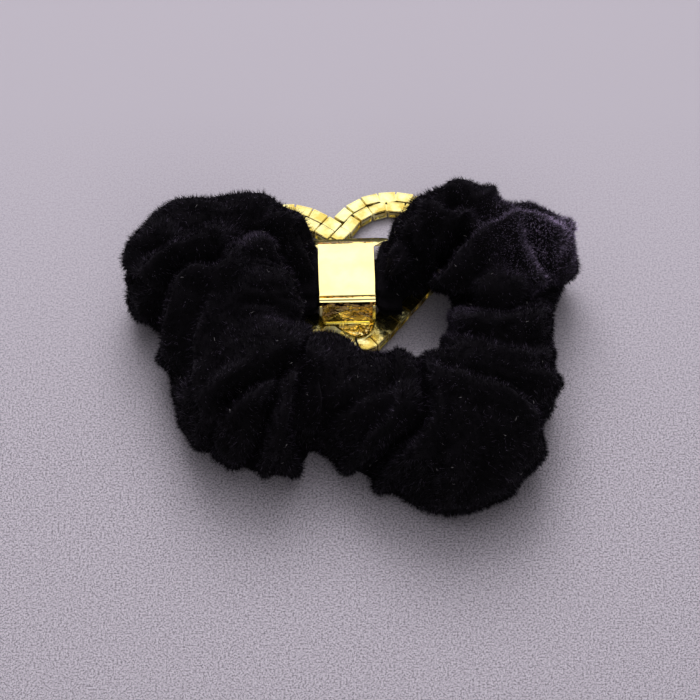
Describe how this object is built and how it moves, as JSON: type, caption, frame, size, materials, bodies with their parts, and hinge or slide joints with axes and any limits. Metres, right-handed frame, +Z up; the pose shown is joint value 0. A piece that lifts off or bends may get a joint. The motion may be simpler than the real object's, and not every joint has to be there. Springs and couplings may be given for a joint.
{
  "type": "scrunchie",
  "caption": "Gathered black velvet scrunchie on an elastic loop, with a gold open-heart ornament set with baguette stones, held on the strand by a strap.",
  "frame": {"origin": "middle of the bounding box's base, on the surface the scrunchie lies on", "axes": "+Z up, the shortest extent; +Y from the front of the ring to the ornament at its back; +X to the right"},
  "size_m": [0.1064, 0.102, 0.032],
  "materials": {
    "velvet": "matte",
    "elastic": "matte",
    "thread": "matte",
    "gold": "polished",
    "stones": "polished"
  },
  "bodies": {
    "ring_back": {"velvet_back_left": "velvet", "velvet_back_right": "velvet", "elastic_band": "elastic"},
    "ring_front": {"velvet_front": "velvet", "elastic_join_thread": "thread", "closing_seam_thread": "thread"},
    "neck": {"velvet_neck": "velvet"},
    "ornament": {"heart_row_left_inner": "gold", "heart_row_left_outer": "gold", "heart_row_right_inner": "gold", "heart_row_right_outer": "gold", "bridge_plate": "gold", "strap": "gold", "stones_left_inner_leg": "stones", "stones_left_inner_lobe": "stones", "stones_left_outer_leg": "stones", "stones_left_outer_lobe": "stones", "stones_right_inner_leg": "stones", "stones_right_inner_lobe": "stones", "stones_right_outer_leg": "stones", "stones_right_outer_lobe": "stones"}
  },
  "joints": [
    {"name": "stretch", "type": "slide", "parent": "ring_back", "child": "ring_front", "axis": [0, -1, 0], "range_m": [0, 0.045], "stiffness_N_per_m": 60, "deforming": ["elastic_band"]},
    {"name": "ornament_slide", "type": "slide", "parent": "ring_back", "child": "neck", "axis": [1, 0, 0], "range_m": [-0.0025, 0.0025]},
    {"name": "ornament_roll", "type": "hinge", "parent": "neck", "child": "ornament", "pos_m": [0, 0.0185, 0.0085], "axis": [1, 0, 0], "range_deg": [-20, 8]}
  ]
}
